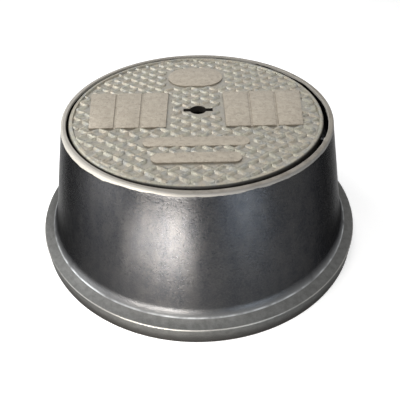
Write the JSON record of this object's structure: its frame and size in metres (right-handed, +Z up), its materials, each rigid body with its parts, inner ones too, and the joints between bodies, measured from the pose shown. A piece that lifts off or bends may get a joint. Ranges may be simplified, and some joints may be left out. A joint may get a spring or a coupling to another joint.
{
  "type": "valve box",
  "caption": "Round cast-iron surface box for a buried valve: a tapered housing with a foot flange, and a loose lift-out lid with a raised tread and a keyhole.",
  "frame": {"origin": "middle of the foot, on the surface that the box stands on", "axes": "+Z up along the housing's axis, -Y towards the side that the picture shows in front, +X to its right"},
  "size_m": [0.358, 0.3578, 0.141],
  "materials": {
    "housing_iron": "satin dark dip coat over cast iron, bare ground face on the rim",
    "lid_iron": "bare blasted cast iron"
  },
  "bodies": {
    "root": {"housing": "housing_iron", "lid": "lid_iron"}
  },
  "joints": []
}
